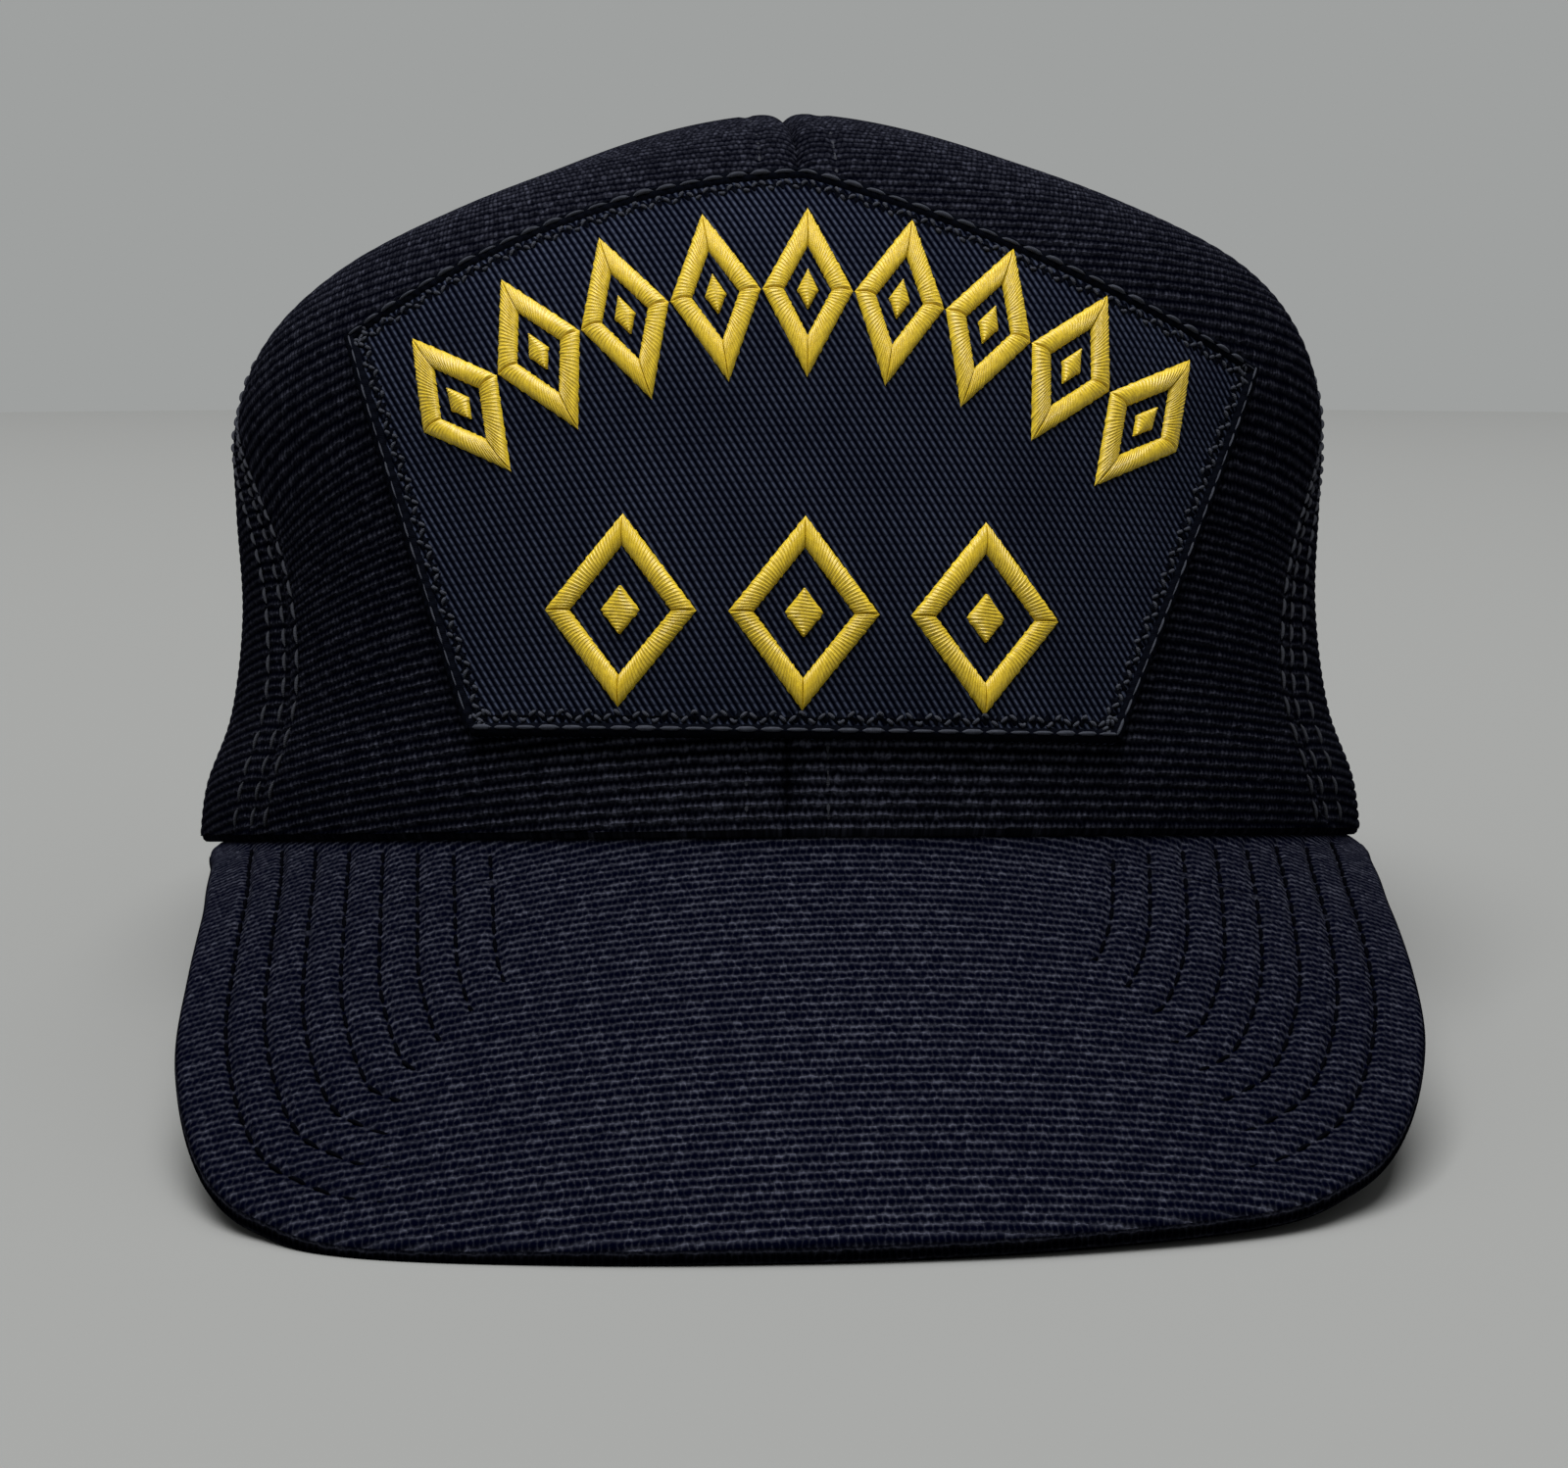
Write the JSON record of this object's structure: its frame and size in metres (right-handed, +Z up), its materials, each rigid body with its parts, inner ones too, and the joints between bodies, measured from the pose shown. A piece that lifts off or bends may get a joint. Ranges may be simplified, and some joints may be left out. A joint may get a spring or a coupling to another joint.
{
  "type": "snapback cap",
  "caption": "Ribbed-knit snapback cap with a high crown of sewn panels, a down-sloped brim, an arched cloth patch on the front and a snap strap across the open back.",
  "frame": {"origin": "centre of the bounding box at the level the cap rests on", "axes": "+Z up, -Y towards the brim's front edge, +X to the wearer's left"},
  "size_m": [0.167, 0.2592, 0.1209],
  "materials": {
    "crown_cloth": "ribbed double knit, matt",
    "brim_cloth": "ribbed double knit, matt",
    "patch_twill": "fine diagonal twill",
    "strap_plastic": "moulded, satin"
  },
  "bodies": {
    "root": {"front_panel_left": "crown_cloth", "front_panel_right": "crown_cloth", "side_panel_left": "crown_cloth", "side_panel_right": "crown_cloth", "back_panel_left": "crown_cloth", "back_panel_right": "crown_cloth", "brim": "brim_cloth", "patch": "patch_twill", "top_button": "crown_cloth", "snap_strap": "strap_plastic"}
  },
  "joints": []
}
